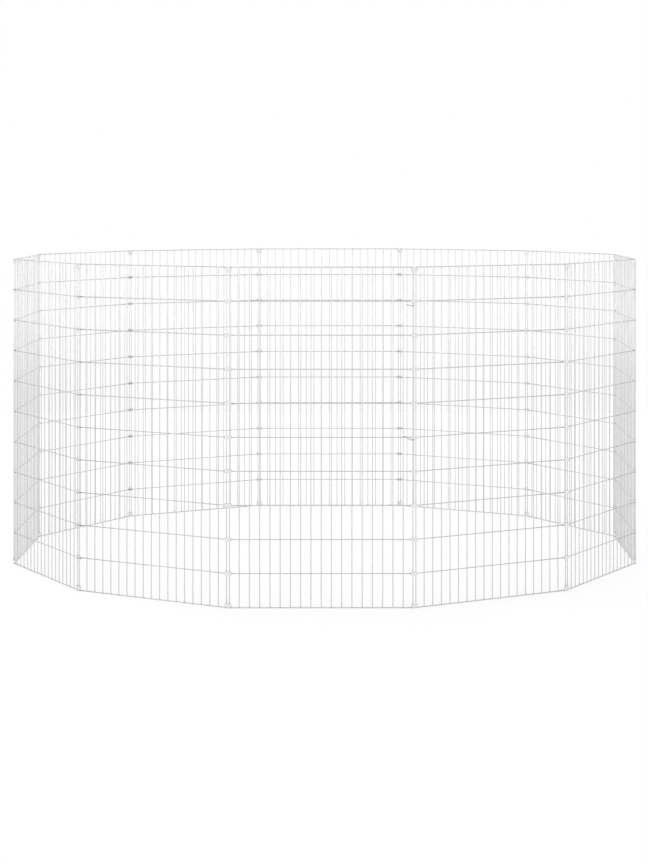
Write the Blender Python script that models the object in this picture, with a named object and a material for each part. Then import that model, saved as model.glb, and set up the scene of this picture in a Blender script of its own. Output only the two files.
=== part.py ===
# Animal pen: twelve welded wire panels stood in a ring and clipped together edge to edge.
# The origin is the centre of the ring on the ground, +Z is up and the front panel faces -Y.
# The pen runs as a chain, clockwise seen from above, from the front panel round to the gate
# panel. Keepers and two latch hooks on the front panel's free edge wire hold the gate's.

import math

import bmesh
import bpy

# Panels, in metres
PANEL_COUNT = 12
PANEL_WIDTH = 0.540
PANEL_HEIGHT = 1.000
WIRE = 0.003
LEVEL_COUNT = 11
INFILL_PITCH = 0.030

# The solid keeps every third infill wire: the panels between clips are the same all along
INFILL_KEPT_EVERY = 3

# Clips round the two edge wires at each corner. Those between the top and the bottom straddle
# a cross wire, which runs out between two arms and keeps the clip at its height
EDGE_WIRE_GAP = 0.0062
CLIP_LENGTH = 0.022
CLIP_HEIGHT = 0.0115
CLIP_STRIP = 0.001
CLIP_SEAM = 0.0008
CLIP_WEB = 0.004
CLIP_LEVELS = (10, 7, 3, 0)
CLIP_ARC_STEPS = 4

# Keepers on the front panel's free edge, open inwards so that the gate can leave them
KEEPER_LEVELS = {"keeper_top": 10, "keeper_bottom": 0}

# Latch hooks turn on the front panel's free edge wire. Here they lie back over the panel with
# their tips outwards, so that each tip points inwards, past the gate's edge wire, once turned
HOOK_WIRE = 0.003
HOOK_TIP = 0.0085
HOOK_BEND = 0.0025
HOOK_LEVEL_RUN = 0.008
HOOK_EYE_TURN = math.radians(262)
HOOK_EYE_STEPS = 10
HOOK_BEND_STEPS = 3
UPPER_HOOK_LEVEL = 9
UPPER_HOOK_DROP = 0.0126
UPPER_HOOK_RISE = 0.002
UPPER_HOOK_SHARE = 0.63
LOWER_HOOK_LEVEL = 5
LOWER_HOOK_DROP = 0.007
LOWER_HOOK_RISE = 0.011
LOWER_HOOK_SHARE = 0.94

# Gap left between pieces that touch on the real pen
PLAY = 0.0003

# The ring: panels and clips are the long and short sides of one evenly turned outline
panel_span = PANEL_WIDTH - WIRE
clip_span = EDGE_WIRE_GAP + WIRE
corner_turn = math.pi / PANEL_COUNT
ring_depth = (clip_span + panel_span * math.cos(corner_turn)) / (2 * math.sin(corner_turn))

level_pitch = (PANEL_HEIGHT - WIRE) / (LEVEL_COUNT - 1)
infill_each_side = round(panel_span / 2 / INFILL_PITCH) - 1
end_cell = panel_span / 2 - infill_each_side * INFILL_PITCH

# A square bar inscribed in the round wire turns inside a clip without touching it
bar_side = WIRE / math.sqrt(2)

# Neither hook is longer than the front panel's end cell
upper_hook_reach = end_cell * UPPER_HOOK_SHARE
lower_hook_reach = end_cell * LOWER_HOOK_SHARE

GALVANISED_WIRE = {"colour": (0.64, 0.66, 0.66, 1.0), "roughness": 0.38, "metallic": 0.9}
CRIMPED_STRIP = {"colour": (0.72, 0.74, 0.75, 1.0), "roughness": 0.32, "metallic": 0.95}
PLATED_WIRE = {"colour": (0.34, 0.35, 0.36, 1.0), "roughness": 0.42, "metallic": 0.95}


def level_height(level):
    return WIRE / 2 + level * level_pitch


def clear_scene():
    for thing in list(bpy.data.objects):
        bpy.data.objects.remove(thing, do_unlink=True)


def make_material(name, finish):
    material = bpy.data.materials.new(name)
    material.use_nodes = True
    shader = material.node_tree.nodes["Principled BSDF"]
    shader.inputs["Base Color"].default_value = finish["colour"]
    shader.inputs["Roughness"].default_value = finish["roughness"]
    shader.inputs["Metallic"].default_value = finish["metallic"]
    material.diffuse_color = finish["colour"]
    return material


def add_object(name, data, parent, place, turn=0.0):
    """Data may be None, for an empty that carries other pieces."""
    thing = bpy.data.objects.new(name, data)
    thing.parent = parent
    thing.location = place
    thing.rotation_euler = (0, 0, turn)
    bpy.context.collection.objects.link(thing)
    return thing


def add_piece(name, data, finish, parent, place, turn=0.0):
    data.materials.append(make_material(name, finish))
    return add_object(name, data, parent, place, turn)


def thickened(bm, name, move_corner):
    """Turns a sheet of faces into a solid mesh, whose second side the function moves."""
    raised = bmesh.ops.extrude_face_region(bm, geom=bm.faces[:])
    for part in raised["geom"]:
        if isinstance(part, bmesh.types.BMVert):
            move_corner(part)
    bmesh.ops.recalc_face_normals(bm, faces=bm.faces[:])
    mesh = bpy.data.meshes.new(name)
    bm.to_mesh(mesh)
    bm.free()
    return mesh


def bar_sides(centres, width):
    return [centre + side * width / 2 for centre in centres for side in (-1, 1)]


def panel_mesh(name):
    """One welded panel: X runs from its first edge wire to its last, and +Y is outwards."""
    numbers = range(-infill_each_side, infill_each_side + 1)
    infill = [panel_span / 2 + i * INFILL_PITCH for i in numbers if i % INFILL_KEPT_EVERY == 0]
    across = bar_sides([0.0] + infill + [panel_span], bar_side)
    up = bar_sides([level_height(i) for i in range(LEVEL_COUNT)], WIRE)

    bm = bmesh.new()
    grid = [[bm.verts.new((x, -bar_side / 2, z)) for z in up] for x in across]
    for i in range(len(across) - 1):
        for j in range(len(up) - 1):
            if i % 2 == 0 or j % 2 == 0:
                bm.faces.new((grid[i][j], grid[i + 1][j], grid[i + 1][j + 1], grid[i][j + 1]))
    for vert in [vert for vert in bm.verts if not vert.link_faces]:
        bm.verts.remove(vert)

    def move_corner(vert):
        vert.co.y += bar_side

    return thickened(bm, name, move_corner)


def arc(centre, radius, start, end, steps):
    """Points round a centre on the X axis, with the angles in quarter turns."""
    angles = [(start + (end - start) * i / steps) * math.pi / 2 for i in range(steps + 1)]
    return [(centre + radius * math.cos(a), radius * math.sin(a)) for a in angles]


def clip_outline(radius):
    """One face of the bent strip from above: the edge wires are at X 0 and X clip_span."""
    middle = clip_span / 2
    straight = CLIP_LENGTH / 2 - (WIRE / 2 + PLAY + CLIP_STRIP)
    first = arc(middle - straight, radius, -1, -3, CLIP_ARC_STEPS)
    last = arc(middle + straight, radius, 1, -1, CLIP_ARC_STEPS)
    start = [(middle - CLIP_SEAM / 2, -radius)] + first + [(middle - CLIP_WEB / 2, radius)]
    return start + [(middle + CLIP_WEB / 2, radius)] + last + [(middle + CLIP_SEAM / 2, -radius)]


def keeper_outline(radius):
    """The strip closes round the front panel's wire, and only passes outside the gate's."""
    middle = clip_span / 2
    straight = CLIP_LENGTH / 2 - (WIRE / 2 + PLAY + CLIP_STRIP)
    start = arc(clip_span, radius, -2, -1, CLIP_ARC_STEPS)
    end = arc(middle + straight, radius, -1, 1, CLIP_ARC_STEPS)
    return start + end + [(middle - CLIP_LENGTH / 2, radius)]


def strip_mesh(name, outline, slot_cells=0):
    """A strip on edge, bent to an outline that is a function of the distance from the wire. It
    may be split lengthwise for a cross wire, over some cells from each end of the outline."""
    inside = outline(WIRE / 2 + PLAY)
    outside = outline(WIRE / 2 + PLAY + CLIP_STRIP)
    arm = CLIP_HEIGHT / 2 - (WIRE / 2 + PLAY)
    heights = [0.0, arm, CLIP_HEIGHT - arm, CLIP_HEIGHT] if slot_cells else [0.0, CLIP_HEIGHT]
    cells = len(outside) - 1

    bm = bmesh.new()
    column = bm.verts.layers.int.new("column")
    grid = [[bm.verts.new((x, y, z)) for z in heights] for x, y in outside]
    for i, row in enumerate(grid):
        for vert in row:
            vert[column] = i
    for i in range(cells):
        for j in range(len(heights) - 1):
            if j != 1 or slot_cells <= i < cells - slot_cells:
                bm.faces.new((grid[i][j], grid[i + 1][j], grid[i + 1][j + 1], grid[i][j + 1]))

    def move_corner(vert):
        vert.co.xy = inside[vert[column]]

    return thickened(bm, name, move_corner)


def is_slotted(level):
    """A clip on the highest or lowest wire has no room beyond it for a second pair of arms."""
    return 0 < level < LEVEL_COUNT - 1


def clip_foot(level):
    """Slotted clips straddle their level's wire; the top ones hang and the bottom ones stand."""
    clear = WIRE / 2 + PLAY
    if is_slotted(level):
        return level_height(level) - CLIP_HEIGHT / 2
    if level == 0:
        return level_height(level) + clear
    return level_height(level) - clear - CLIP_HEIGHT


def hook_route(rise, reach):
    """Centre line of a hook, from its eye round the front panel's edge wire to its tip."""
    radius = WIRE / 2 + PLAY + HOOK_WIRE / 2
    route = []
    for i in range(HOOK_EYE_STEPS + 1):
        angle = math.pi / 2 + HOOK_EYE_TURN * (1 - i / HOOK_EYE_STEPS)
        route.append((radius * math.cos(angle), radius * math.sin(angle), 0.0))
    route.append((HOOK_LEVEL_RUN, radius, 0.0))
    for i in range(HOOK_BEND_STEPS + 1):
        angle = math.pi / 2 * i / HOOK_BEND_STEPS
        along = reach - HOOK_BEND * (1 - math.sin(angle))
        route.append((along, radius + HOOK_BEND * (1 - math.cos(angle)), rise))
    route.append((reach, radius + HOOK_TIP, rise))
    return route


def hook_curve(name, rise, reach):
    curve = bpy.data.curves.new(name, "CURVE")
    curve.dimensions = "3D"
    curve.bevel_depth = HOOK_WIRE / 2
    curve.bevel_resolution = 1
    curve.use_fill_caps = True
    route = hook_route(rise, reach)
    spline = curve.splines.new("POLY")
    spline.points.add(len(route) - 1)
    for point, place in zip(spline.points, route):
        point.co = (*place, 1.0)
    return curve


def add_clips(corner, carrier):
    """At every other corner the pen folds outwards, so the clips there are put on from inside,
    with their arms split as far as the web."""
    outward = corner % 2 == 0
    slot_cells = CLIP_ARC_STEPS + 2 if outward else CLIP_ARC_STEPS // 2 + 1
    for number, level in enumerate(CLIP_LEVELS, start=1):
        name = f"corner_{corner:02d}_clip_{number}"
        mesh = strip_mesh(name, clip_outline, slot_cells if is_slotted(level) else 0)
        place = (clip_span if outward else 0, 0, clip_foot(level))
        add_piece(name, mesh, CRIMPED_STRIP, carrier, place, math.pi if outward else 0)


def add_latch(front_panel):
    """Keepers and hooks both belong to the front panel, at its first edge wire."""
    offset = (-clip_span * math.cos(corner_turn), clip_span * -math.sin(corner_turn))
    for name, level in KEEPER_LEVELS.items():
        mesh = strip_mesh(name, keeper_outline)
        place = (*offset, clip_foot(level))
        add_piece(name, mesh, CRIMPED_STRIP, front_panel, place, corner_turn)

    upper = level_height(UPPER_HOOK_LEVEL) - UPPER_HOOK_DROP
    lower = level_height(LOWER_HOOK_LEVEL) - LOWER_HOOK_DROP
    upper_curve = hook_curve("latch_hook_upper", UPPER_HOOK_RISE, upper_hook_reach)
    lower_curve = hook_curve("latch_hook_lower", LOWER_HOOK_RISE, lower_hook_reach)
    add_piece("latch_hook_upper", upper_curve, PLATED_WIRE, front_panel, (0, 0, upper))
    add_piece("latch_hook_lower", lower_curve, PLATED_WIRE, front_panel, (0, 0, lower))


def build_pen():
    """Each panel turns on its first edge wire, and each corner on the wire before it."""
    front = (panel_span / 2, -ring_depth, 0)
    first = add_piece("panel_01", panel_mesh("panel_01"), GALVANISED_WIRE, None, front, math.pi)
    panel = first
    for number in range(2, PANEL_COUNT + 1):
        corner = number - 1
        carrier = add_object(f"corner_{corner:02d}", None, panel, (panel_span, 0, 0), -corner_turn)
        add_clips(corner, carrier)
        name = "gate_panel" if number == PANEL_COUNT else f"panel_{number:02d}"
        mesh = panel_mesh(name)
        panel = add_piece(name, mesh, GALVANISED_WIRE, carrier, (clip_span, 0, 0), -corner_turn)
    add_latch(first)


clear_scene()
build_pen()
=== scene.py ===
# Round free-standing pen of hinged welded-wire panels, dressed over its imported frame
import math

import bmesh
import bpy
from mathutils import Matrix, Vector


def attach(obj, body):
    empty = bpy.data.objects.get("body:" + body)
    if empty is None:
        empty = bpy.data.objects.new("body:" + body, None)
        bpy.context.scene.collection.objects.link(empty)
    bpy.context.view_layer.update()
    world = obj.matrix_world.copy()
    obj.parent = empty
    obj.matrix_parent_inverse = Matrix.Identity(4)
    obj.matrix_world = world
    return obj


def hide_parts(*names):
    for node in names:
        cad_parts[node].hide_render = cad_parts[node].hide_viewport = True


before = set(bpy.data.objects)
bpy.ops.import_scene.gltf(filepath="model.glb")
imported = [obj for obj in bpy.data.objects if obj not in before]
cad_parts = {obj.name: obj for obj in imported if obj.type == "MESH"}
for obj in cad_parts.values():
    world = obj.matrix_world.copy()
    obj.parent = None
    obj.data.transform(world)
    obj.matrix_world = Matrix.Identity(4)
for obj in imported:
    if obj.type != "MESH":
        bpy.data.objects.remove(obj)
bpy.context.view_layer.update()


# ring: where the panels and corners stand, in metres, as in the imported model
ring = {
    "panels": 12,
    "span": 0.537,        # between a panel's two edge wires
    "clipSpan": 0.0092,   # between the two edge wires at a corner
    "levels": 11,
    "height": 1.0,
    "wire": 0.003,
}
mergeWithin = 0.00001     # metres between points that are one
turn = math.pi / ring["panels"]
ringDepth = (ring["clipSpan"] + ring["span"] * math.cos(turn)) / (2 * math.sin(turn))
levelHeights = [ring["wire"] / 2 + i * (ring["height"] - ring["wire"]) / (ring["levels"] - 1)
                for i in range(ring["levels"])]

panelPlaces = []    # X along the panel from its first edge wire, +Y outwards
cornerPlaces = []   # at the panel's last edge wire, X to the next panel's first
place = Matrix.Translation((ring["span"] / 2, -ringDepth, 0)) @ Matrix.Rotation(math.pi, 4, "Z")
for number in range(ring["panels"]):
    panelPlaces.append(place)
    place = place @ Matrix.Translation((ring["span"], 0, 0)) @ Matrix.Rotation(-turn, 4, "Z")
    cornerPlaces.append(place)
    place = place @ Matrix.Translation((ring["clipSpan"], 0, 0)) @ Matrix.Rotation(-turn, 4, "Z")


def linear(hexColour):
    # sRGB hex to the linear colour that sockets take
    levels = [int(hexColour[i:i + 2], 16) / 255 for i in (1, 3, 5)]
    return [v / 12.92 if v <= 0.04045 else ((v + 0.055) / 1.055) ** 2.4 for v in levels] + [1.0]


def addNode(tree, kind, sockets=None, **settings):
    # a socket given another node's output is linked, any other value is set
    node = tree.nodes.new(kind)
    for name, value in settings.items():
        setattr(node, name, value)
    for name, value in (sockets or {}).items():
        if isinstance(value, bpy.types.NodeSocket):
            tree.links.new(value, node.inputs[name])
        else:
            node.inputs[name].default_value = value
    return node


# finishes: colours as sRGB, sizes in millimetres
wireZinc = {   # hot-dip galvanised drawn wire: small frozen spangles, chalky patches, soft glints
    "name": "galvanised_upright_wire",
    "bright": "#DFDFDF", "dull": "#CECECE", "chalk": "#D8D8D8",
    "spangleMm": 4.0, "patchMm": 70.0, "grainMm": 0.8,
    "stretch": (1.0, 1.0, 1.0), "roughness": (0.30, 0.55), "bumpMm": 0.05,
}
crossZincPaintedShade = {   # the same wire lying level: rougher, and painted darker than the uprights as painted shade for the dimmer light that level wires reflect
    "name": "galvanised_cross_wire_painted_shade",
    "bright": "#CFCFCF", "dull": "#BFBFBF", "chalk": "#C9C9C9",
    "spangleMm": 4.0, "patchMm": 50.0, "grainMm": 0.8,
    "stretch": (1.0, 1.0, 1.0), "roughness": (0.36, 0.60), "bumpMm": 0.05,
}
weldZincPaintedLight = {   # resistance welds under the zinc: less glossy, rougher and faintly scorched, yet painted lighter than the wire, as painted light that lifts the shade where the wires cross
    "name": "welded_crossing_zinc_painted_light",
    "bright": "#E2E2E1", "dull": "#D4D4D4", "chalk": "#E0E0DF",
    "spangleMm": 1.5, "patchMm": 30.0, "grainMm": 0.5,
    "stretch": (1.0, 1.0, 1.0), "roughness": (0.42, 0.68), "bumpMm": 0.08,
}
stripZinc = {   # cold-rolled strip, bright zinc plated: fine rolling lines run round the band
    "name": "zinc_plated_rolled_strip",
    "bright": "#EBEBEB", "dull": "#E1E1E1", "chalk": "#E7E7E6",
    "spangleMm": 2.5, "patchMm": 40.0, "grainMm": 0.35,
    "stretch": (0.12, 0.12, 1.0), "roughness": (0.26, 0.46), "bumpMm": 0.02,
}
shearedEdgeLifted = {   # the strip's sheared edges, the slots' lips among them: bare torn steel, darker than the plating, yet kept light as painted light against the shade inside the slots
    "name": "sheared_strip_edge_with_painted_light",
    "bright": "#D2D3D3", "dull": "#BABCBC", "chalk": "#C6C8C7",
    "spangleMm": 0.8, "patchMm": 15.0, "grainMm": 0.25,
    "stretch": (1.0, 1.0, 0.3), "roughness": (0.40, 0.62), "bumpMm": 0.04,
}
hookSteel = {   # plated spring wire: greyer than the zinc, with a drawn satin sheen
    "name": "grey_plated_spring_wire",
    "bright": "#C0C2C2", "dull": "#A7A9AA", "chalk": "#C4C5C3",
    "spangleMm": 1.2, "patchMm": 20.0, "grainMm": 0.3,
    "stretch": (0.5, 0.5, 0.5), "roughness": (0.30, 0.50), "bumpMm": 0.02,
}
coating = {   # shared by all the finishes
    "chalk": (0.45, 0.70),      # patch noise at which chalk sets in and is full
    "wear": (0.35, 0.70),       # patch noise between the smooth and the rough end
    "patchDetail": 3.0,
    "patchRoughness": 0.6,
    "grainDetail": 2.0,
    "spangleInBump": 0.4,       # against the grain
    "bumpStrength": 0.6,
}


def coatedSteel(finish):
    material = bpy.data.materials.new(finish["name"])
    material.use_nodes = True
    tree = material.node_tree
    shader = tree.nodes["Principled BSDF"]
    shader.inputs["Metallic"].default_value = 1.0
    where = addNode(tree, "ShaderNodeTexCoord").outputs["Object"]
    drawn = addNode(tree, "ShaderNodeMapping",
                    {"Vector": where, "Scale": finish["stretch"]}).outputs[0]

    spangle = addNode(tree, "ShaderNodeTexVoronoi",
                      {"Vector": drawn, "Scale": 1000 / finish["spangleMm"], "Randomness": 1.0})
    leaf = addNode(tree, "ShaderNodeSeparateColor", {"Color": spangle.outputs["Color"]})
    patch = addNode(tree, "ShaderNodeTexNoise",
                    {"Vector": where, "Scale": 1000 / finish["patchMm"],
                     "Detail": coating["patchDetail"], "Roughness": coating["patchRoughness"]})
    chalkFrom, chalkFull = coating["chalk"]
    chalky = addNode(tree, "ShaderNodeMapRange",
                     {"Value": patch.outputs[0], "From Min": chalkFrom, "From Max": chalkFull},
                     clamp=True)
    grain = addNode(tree, "ShaderNodeTexNoise",
                    {"Vector": drawn, "Scale": 1000 / finish["grainMm"],
                     "Detail": coating["grainDetail"]})

    leaves = addNode(tree, "ShaderNodeMix",
                     {0: leaf.outputs[0], 6: linear(finish["dull"]), 7: linear(finish["bright"])},
                     data_type="RGBA")
    colour = addNode(tree, "ShaderNodeMix",
                     {0: chalky.outputs[0], 6: leaves.outputs[2], 7: linear(finish["chalk"])},
                     data_type="RGBA")
    tree.links.new(colour.outputs[2], shader.inputs["Base Color"])

    smooth, rough = finish["roughness"]
    wearFrom, wearFull = coating["wear"]
    worn = addNode(tree, "ShaderNodeMapRange",
                   {"Value": patch.outputs[0], "From Min": wearFrom, "From Max": wearFull,
                    "To Min": smooth, "To Max": rough}, clamp=True)
    tree.links.new(worn.outputs[0], shader.inputs["Roughness"])

    skin = addNode(tree, "ShaderNodeMix",
                   {0: coating["spangleInBump"], 2: grain.outputs[0], 3: leaf.outputs[1]})
    bump = addNode(tree, "ShaderNodeBump",
                   {"Height": skin.outputs[0], "Strength": coating["bumpStrength"],
                    "Distance": finish["bumpMm"] / 1000})
    tree.links.new(bump.outputs[0], shader.inputs["Normal"])
    return material


finishes = {"wire": wireZinc, "cross": crossZincPaintedShade, "weld": weldZincPaintedLight,
            "strip": stripZinc, "edge": shearedEdgeLifted, "hook": hookSteel}
steel = {name: coatedSteel(finish) for name, finish in finishes.items()}
print("finishes made:", len(steel))


def finished(bm, name, materials, body, replaced):
    # turns a bmesh that stands in its place into a piece that rides on a body
    bmesh.ops.recalc_face_normals(bm, faces=bm.faces[:])
    mesh = bpy.data.meshes.new(name)
    bm.to_mesh(mesh)
    bm.free()
    for material in materials:
        mesh.materials.append(material)
    piece = bpy.data.objects.new(name, mesh)
    bpy.context.scene.collection.objects.link(piece)
    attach(piece, body)
    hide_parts(*replaced)


# one welded panel: round upright wires outside round cross wires
panel = {
    "pitch": 0.030,         # of the upright wires
    "uprightsEachSide": 8,  # of the middle one, besides the edge wires
    "setDown": 0.0024,      # how far in the cross wires' centres lie, pressed together by the weld
    "sides": 12,
    "cutRounding": 0.0003,
    "weld": (0.0017, 0.0010, 0.0015),   # half sizes of the squeezed-out metal at a crossing
    "weldSegments": (8, 5),
}


def addWire(bm, start, end):
    along = Vector(end) - Vector(start)
    lie = along.to_track_quat("Z", "Y").to_matrix().to_4x4()
    centre = Matrix.Translation((Vector(start) + Vector(end)) / 2)
    radius = ring["wire"] / 2
    made = bmesh.ops.create_cone(bm, cap_ends=True, segments=panel["sides"], radius1=radius,
                                 radius2=radius, depth=along.length, matrix=centre @ lie)
    touched = {face for vert in made["verts"] for face in vert.link_faces}
    caps = [face for face in touched if len(face.verts) > 4]
    rims = [edge for face in caps for edge in face.edges]
    bmesh.ops.bevel(bm, geom=rims, offset=panel["cutRounding"], offset_type="OFFSET", segments=1,
                    profile=0.5, affect="EDGES", material=-1)


def weldedPanel():
    bm = bmesh.new()
    radius = ring["wire"] / 2
    steps = range(-panel["uprightsEachSide"], panel["uprightsEachSide"] + 1)
    uprights = [0.0] + [ring["span"] / 2 + i * panel["pitch"] for i in steps] + [ring["span"]]
    for x in uprights:
        addWire(bm, (x, 0, 0), (x, 0, ring["height"]))
    upright = set(bm.faces)
    for z in levelHeights:
        addWire(bm, (-radius, -panel["setDown"], z), (ring["span"] + radius, -panel["setDown"], z))
    wire = set(bm.faces)
    around, upwards = panel["weldSegments"]
    squeezed = Matrix.Diagonal((*panel["weld"], 1))
    for x in uprights:
        for z in levelHeights:
            spot = Matrix.Translation((x, -panel["setDown"] / 2, z)) @ squeezed
            bmesh.ops.create_uvsphere(bm, u_segments=around, v_segments=upwards, radius=1.0,
                                      matrix=spot)
    for face in bm.faces:
        face.smooth = len(face.verts) <= 4
        face.material_index = 0 if face in upright else 1 if face in wire else 2
    mesh = bpy.data.meshes.new("welded_panel")
    bm.to_mesh(mesh)
    bm.free()
    return mesh


panelPattern = weldedPanel()
for number, place in enumerate(panelPlaces, start=1):
    node = "gate_panel" if number == ring["panels"] else f"panel_{number:02d}"
    bm = bmesh.new()
    bm.from_mesh(panelPattern)
    bm.transform(place)
    finished(bm, f"{node}_mesh", [steel["wire"], steel["cross"], steel["weld"]], node, [node])
print("panels welded:", len(panelPlaces), "of", len(panelPattern.polygons), "faces each")


# clips and keepers: one bent strip each, split where it straddles a cross wire
strip = {
    "length": 0.022,
    "height": 0.0115,
    "keeperHeight": 0.0106,
    "thick": 0.001,
    "play": 0.0003,       # between strip and wire
    "seam": 0.0008,
    "web": 0.004,         # joins the arms of a clip that is split both sides
    "arcSteps": 6,
    "edgeRounding": 0.0002,
    "roundedFrom": math.radians(50),    # edges as sharp as this are rounded
    "creasedFrom": math.radians(38),    # and the broad faces stay flat across up to here
    "edgeFacing": 0.8,                  # upward part of the normal, above which a face is an edge's
}
bandRadius = ring["wire"] / 2 + strip["play"] + strip["thick"]   # of the outer face round a wire
armEnd = ring["wire"] / 2 + strip["play"]                        # half the slot's height
clipMiddle = ring["clipSpan"] / 2
clipStraight = strip["length"] / 2 - bandRadius


def isSplit(level):
    return 0 < level < ring["levels"] - 1


def stripFoot(level, height):
    # the top ones hang under their wire, the bottom ones stand on theirs, the others straddle
    if isSplit(level):
        return levelHeights[level] - height / 2
    return levelHeights[level] + armEnd if level == 0 else levelHeights[level] - armEnd - height


def rowOfPoints(bm, x, y, height, split):
    heights = [0, height / 2 - armEnd, height / 2 + armEnd, height] if split else [0, height]
    points = [bm.verts.new((x, y, z)) for z in heights]
    return [bm.edges.new(pair) for pair in zip(points, points[1:])]


def carryOn(bm, edges, shift):
    # extrudes the strip's leading edge straight on
    made = bmesh.ops.extrude_edge_only(bm, edges=edges)["geom"]
    points = [part for part in made if isinstance(part, bmesh.types.BMVert)]
    bmesh.ops.translate(bm, verts=points, vec=(shift, 0, 0))
    return [part for part in made if isinstance(part, bmesh.types.BMEdge)
            and all(point in points for point in part.verts)]


def bendOn(bm, edges, centreX, angle, steps):
    # spins the strip's leading edge round a wire or an end
    made = bmesh.ops.spin(bm, geom=edges, cent=(centreX, 0, 0), axis=(0, 0, 1), dvec=(0, 0, 0),
                          angle=angle, steps=steps, use_duplicate=False)["geom_last"]
    return [part for part in made if isinstance(part, bmesh.types.BMEdge)]


def closedStrip(bm, cutAway):
    # takes the slot out of the strip's middle row, then gives it thickness and rounds its edges
    gone = [face for face in bm.faces if cutAway(face.calc_center_median())]
    bmesh.ops.delete(bm, geom=gone, context="FACES")
    bmesh.ops.recalc_face_normals(bm, faces=bm.faces[:])
    bmesh.ops.solidify(bm, geom=bm.faces[:], thickness=strip["thick"])
    bmesh.ops.recalc_face_normals(bm, faces=bm.faces[:])
    sharp = [edge for edge in bm.edges if edge.calc_face_angle(0) > strip["roundedFrom"]]
    bmesh.ops.bevel(bm, geom=sharp, offset=strip["edgeRounding"], offset_type="OFFSET", segments=1,
                    profile=0.5, affect="EDGES", material=-1)
    for edge in bm.edges:
        edge.smooth = edge.calc_face_angle(0) < strip["creasedFrom"]
    for face in bm.faces:
        face.smooth = True
        face.material_index = 1 if abs(face.normal.z) > strip["edgeFacing"] else 0


def clipPattern(split, slotFrom):
    # seam on the inner side, X from one wire to the other; the slot starts slotFrom from the middle
    bm = bmesh.new()
    half = strip["web"] / 2
    lead = rowOfPoints(bm, clipMiddle + strip["seam"] / 2, -bandRadius, strip["height"], split)
    lead = carryOn(bm, lead, clipStraight - strip["seam"] / 2)
    lead = bendOn(bm, lead, clipMiddle + clipStraight, math.pi, strip["arcSteps"])
    for stretch in (clipStraight - half, 2 * half, clipStraight - half):
        lead = carryOn(bm, lead, -stretch)
    lead = bendOn(bm, lead, clipMiddle - clipStraight, math.pi, strip["arcSteps"])
    carryOn(bm, lead, clipStraight - strip["seam"] / 2)
    bmesh.ops.remove_doubles(bm, verts=bm.verts[:], dist=mergeWithin)

    def cutAway(spot):
        inSlot = split and abs(spot.z - strip["height"] / 2) < armEnd / 2
        return inSlot and (spot.y < 0 or abs(spot.x - clipMiddle) > slotFrom)

    closedStrip(bm, cutAway)
    mesh = bpy.data.meshes.new("clip")
    bm.to_mesh(mesh)
    bm.free()
    return mesh


def keeperPattern(split):
    # closes round the front panel's wire only, and its long leg passes outside the gate's
    bm = bmesh.new()
    height = strip["keeperHeight"]
    lead = rowOfPoints(bm, clipMiddle - strip["length"] / 2, bandRadius, height, split)
    lead = carryOn(bm, lead, strip["length"] / 2 + clipStraight)
    lead = bendOn(bm, lead, clipMiddle + clipStraight, -math.pi, strip["arcSteps"])
    lead = carryOn(bm, lead, ring["clipSpan"] - clipMiddle - clipStraight)
    bendOn(bm, lead, ring["clipSpan"], -math.pi / 2, strip["arcSteps"] // 2)
    bmesh.ops.remove_doubles(bm, verts=bm.verts[:], dist=mergeWithin)

    def cutAway(spot):
        return split and abs(spot.z - height / 2) < armEnd / 2 and spot.y < 0

    closedStrip(bm, cutAway)
    mesh = bpy.data.meshes.new("keeper")
    bm.to_mesh(mesh)
    bm.free()
    return mesh


def addAtLevels(patterns, place, height, turnedOver=False):
    # patterns is (plain, split); a turned-over clip has its seam on the outer side
    bm = bmesh.new()
    over = Matrix.Translation((ring["clipSpan"], 0, 0)) @ Matrix.Rotation(math.pi, 4, "Z")
    for level in range(ring["levels"]):
        before = len(bm.verts)
        bm.from_mesh(patterns[isSplit(level)])
        bm.verts.ensure_lookup_table()
        lift = Matrix.Translation((0, 0, stripFoot(level, height)))
        bmesh.ops.transform(bm, matrix=place @ lift @ (over if turnedOver else Matrix()),
                            verts=bm.verts[before:])
    return bm


plainClip = clipPattern(False, 0)
tipSplitClip = clipPattern(True, strip["length"])       # whole on its outer side
deepSplitClip = clipPattern(True, strip["web"] / 2)     # split on both sides, but for the web
for number in range(1, ring["panels"]):
    outward = number % 2 == 0     # the pen folds outwards at every other corner
    patterns = (plainClip, deepSplitClip if outward else tipSplitClip)
    bm = addAtLevels(patterns, cornerPlaces[number - 1], strip["height"], outward)
    body = f"corner_{number:02d}_clips"
    nodes = [f"corner_{number:02d}_clip_{i}" for i in range(1, 5)]
    finished(bm, f"corner_{number:02d}_clip_set", [steel["strip"], steel["edge"]], body, nodes)
patterns = (keeperPattern(False), keeperPattern(True))
bm = addAtLevels(patterns, cornerPlaces[-1], strip["keeperHeight"])
finished(bm, "latch_keeper_set", [steel["strip"], steel["edge"]], "panel_01",
         ["keeper_top", "keeper_bottom"])
print("corners clipped:", ring["panels"] - 1, "and one kept by keepers")


# latch hooks: wire bent round the front panel's free edge wire, laid back along its outside
hook = {
    "wire": 0.003,
    "tip": 0.0085,
    "bend": 0.0025,
    "levelRun": 0.008,
    "eyeTurn": math.radians(262),
    "eyeSteps": 24,
    "bendSteps": 8,
    "play": 0.0003,
    "eyeExit": 0.8,                             # way from the eye to the arm's start
    "armPoints": (0.03, 0.2, 0.5, 0.8, 0.97),   # along the arm
    "roundness": 3,
    "cutRounding": 0.0004,
    "cutSteps": 2,
}
endCell = ring["span"] / 2 - panel["uprightsEachSide"] * panel["pitch"]
hooks = {   # level of the wire above, drop from it, rise along the arm, reach along the panel
    "latch_hook_upper": (9, 0.0126, 0.002, 0.63 * endCell),
    "latch_hook_lower": (5, 0.007, 0.011, 0.94 * endCell),
}


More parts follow.
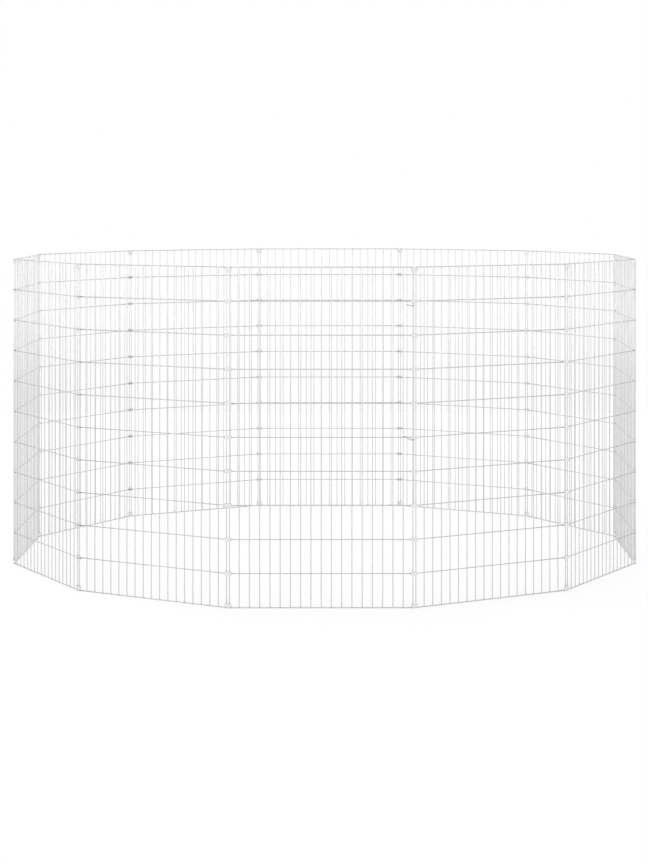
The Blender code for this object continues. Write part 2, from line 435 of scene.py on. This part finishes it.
def hookRoute(rise, reach):
    # the edge wire is at the origin, X along the panel and +Y outwards
    radius = ring["wire"] / 2 + hook["play"] + hook["wire"] / 2
    route = []
    for i in range(hook["eyeSteps"] + 1):
        angle = math.pi / 2 + hook["eyeTurn"] * (1 - i / hook["eyeSteps"])
        route.append(Vector((radius * math.cos(angle), radius * math.sin(angle), 0)))
    level = Vector((hook["levelRun"], radius, 0))
    slope = Vector((reach - hook["bend"], radius, rise))
    route.append(route[-1].lerp(level, hook["eyeExit"]))
    route += [level.lerp(slope, share) for share in hook["armPoints"]]
    for i in range(hook["bendSteps"] + 1):
        angle = math.pi / 2 * i / hook["bendSteps"]
        route.append(Vector((reach - hook["bend"] * (1 - math.sin(angle)),
                             radius + hook["bend"] * (1 - math.cos(angle)), rise)))
    route.append(Vector((reach, radius + hook["tip"], rise)))
    return route


def bentHook(name, level, drop, rise, reach):
    curve = bpy.data.curves.new(name, "CURVE")
    curve.dimensions = "3D"
    curve.bevel_depth = hook["wire"] / 2
    curve.bevel_resolution = hook["roundness"]
    curve.use_fill_caps = True
    route = hookRoute(rise, reach)
    spline = curve.splines.new("POLY")
    spline.points.add(len(route) - 1)
    for point, spot in zip(spline.points, route):
        point.co = (*spot, 1)
    drawn = bpy.data.objects.new(name, curve)
    bm = bmesh.new()
    bm.from_mesh(drawn.to_mesh())
    drawn.to_mesh_clear()
    bpy.data.objects.remove(drawn)
    bpy.data.curves.remove(curve)
    bmesh.ops.remove_doubles(bm, verts=bm.verts[:], dist=mergeWithin)
    caps = [face for face in bm.faces if len(face.verts) > 4]
    rims = [edge for face in caps for edge in face.edges]
    bmesh.ops.bevel(bm, geom=rims, offset=hook["cutRounding"], offset_type="OFFSET",
                    segments=hook["cutSteps"], profile=0.5, affect="EDGES", material=-1)
    for face in bm.faces:
        face.smooth = len(face.verts) <= 4
    bm.transform(panelPlaces[0] @ Matrix.Translation((0, 0, levelHeights[level] - drop)))
    finished(bm, f"{name}_wire", [steel["hook"]], name, [name])


for name, (level, drop, rise, reach) in hooks.items():
    bentHook(name, level, drop, rise, reach)
print("latch hooks bent:", len(hooks))


# studio: plain white floor, soft light all round and a ring of softboxes above eye level
studio = {
    "floorSize": 9.0,       # its edge doesn't show, as floor and background are both white
    "floor": "#C8C8C8",
    "floorRoughness": 0.9,
    "floorLift": 0.47,      # brings the evenly lit floor to the background's white
    "background": "#FFFFFF",
    "softLight": "#E6E6E6",
    "softboxes": {          # azimuth from +X in degrees, and watts
        "back_right": (30, 84), "back": (90, 84), "back_left": (150, 98),
        "front_left": (210, 112), "front": (270, 18), "front_right": (330, 10),
    },
    "softboxSize": (6.5, 5.0),
    "softboxDistance": 8.5,
    "softboxHeight": 4.2,
    "softboxAim": 0.5,      # height on the pen's axis that they face
}


def showsBackground(tree):
    # 1 for rays that should meet the white background: seen straight, mirrored or through glass
    ray = addNode(tree, "ShaderNodeLightPath").outputs
    mirrored = addNode(tree, "ShaderNodeMath", {0: ray["Is Camera Ray"], 1: ray["Is Glossy Ray"]},
                       operation="MAXIMUM")
    return addNode(tree, "ShaderNodeMath", {0: mirrored.outputs[0], 1: ray["Is Transmission Ray"]},
                   operation="MAXIMUM").outputs[0]


world = bpy.data.worlds.new("studio")
bpy.context.scene.world = world
world.use_nodes = True
sky = world.node_tree
light = addNode(sky, "ShaderNodeMix",
                {0: showsBackground(sky), 6: linear(studio["softLight"]),
                 7: linear(studio["background"])}, data_type="RGBA")
sky.links.new(light.outputs[2], sky.nodes["Background"].inputs["Color"])

bm = bmesh.new()
bmesh.ops.create_grid(bm, x_segments=1, y_segments=1, size=studio["floorSize"] / 2)
mesh = bpy.data.meshes.new("floor")
bm.to_mesh(mesh)
bm.free()
floor = bpy.data.objects.new("floor", mesh)
bpy.context.scene.collection.objects.link(floor)
paint = bpy.data.materials.new("matt_white_floor")   # matt painted board, no gloss
paint.use_nodes = True
tree = paint.node_tree
matt = tree.nodes["Principled BSDF"]
matt.inputs["Base Color"].default_value = linear(studio["floor"])
matt.inputs["Roughness"].default_value = studio["floorRoughness"]
matt.inputs["Specular IOR Level"].default_value = 0.0
lift = addNode(tree, "ShaderNodeMath", {0: showsBackground(tree), 1: studio["floorLift"]},
               operation="MULTIPLY")
glow = addNode(tree, "ShaderNodeEmission",
               {"Color": linear(studio["background"]), "Strength": lift.outputs[0]})
both = addNode(tree, "ShaderNodeAddShader", {0: matt.outputs[0], 1: glow.outputs[0]})
tree.links.new(both.outputs[0], tree.nodes["Material Output"].inputs["Surface"])
mesh.materials.append(paint)

for name, (azimuth, watts) in studio["softboxes"].items():
    box = bpy.data.lights.new(f"softbox_{name}", "AREA")
    box.shape = "RECTANGLE"
    box.size, box.size_y = studio["softboxSize"]
    box.energy = watts
    lamp = bpy.data.objects.new(f"softbox_{name}", box)
    away = Vector((math.cos(math.radians(azimuth)), math.sin(math.radians(azimuth)), 0))
    lamp.location = away * studio["softboxDistance"] + Vector((0, 0, studio["softboxHeight"]))
    aim = Vector((0, 0, studio["softboxAim"])) - lamp.location
    lamp.rotation_euler = aim.to_track_quat("-Z", "Y").to_euler()
    lamp.visible_camera = False
    bpy.context.scene.collection.objects.link(lamp)

view = {   # a level camera keeps the uprights parallel, and the shift frames the pen
    "place": (0.09618, -7.20798, 1.21436),
    "turnAboutZ": -0.001735,
    "lens": 88.0902,
    "sensor": 36.0,
    "shift": (-0.03900, -0.27618),
}
eye = bpy.data.cameras.new("camera")
eye.lens = view["lens"]
eye.sensor_width = view["sensor"]
eye.shift_x, eye.shift_y = view["shift"]
camera = bpy.data.objects.new("camera", eye)
camera.location = view["place"]
camera.rotation_euler = (math.pi / 2, 0, view["turnAboutZ"])
bpy.context.scene.collection.objects.link(camera)
bpy.context.scene.camera = camera
bpy.context.scene.view_settings.view_transform = "Standard"
print("studio set")
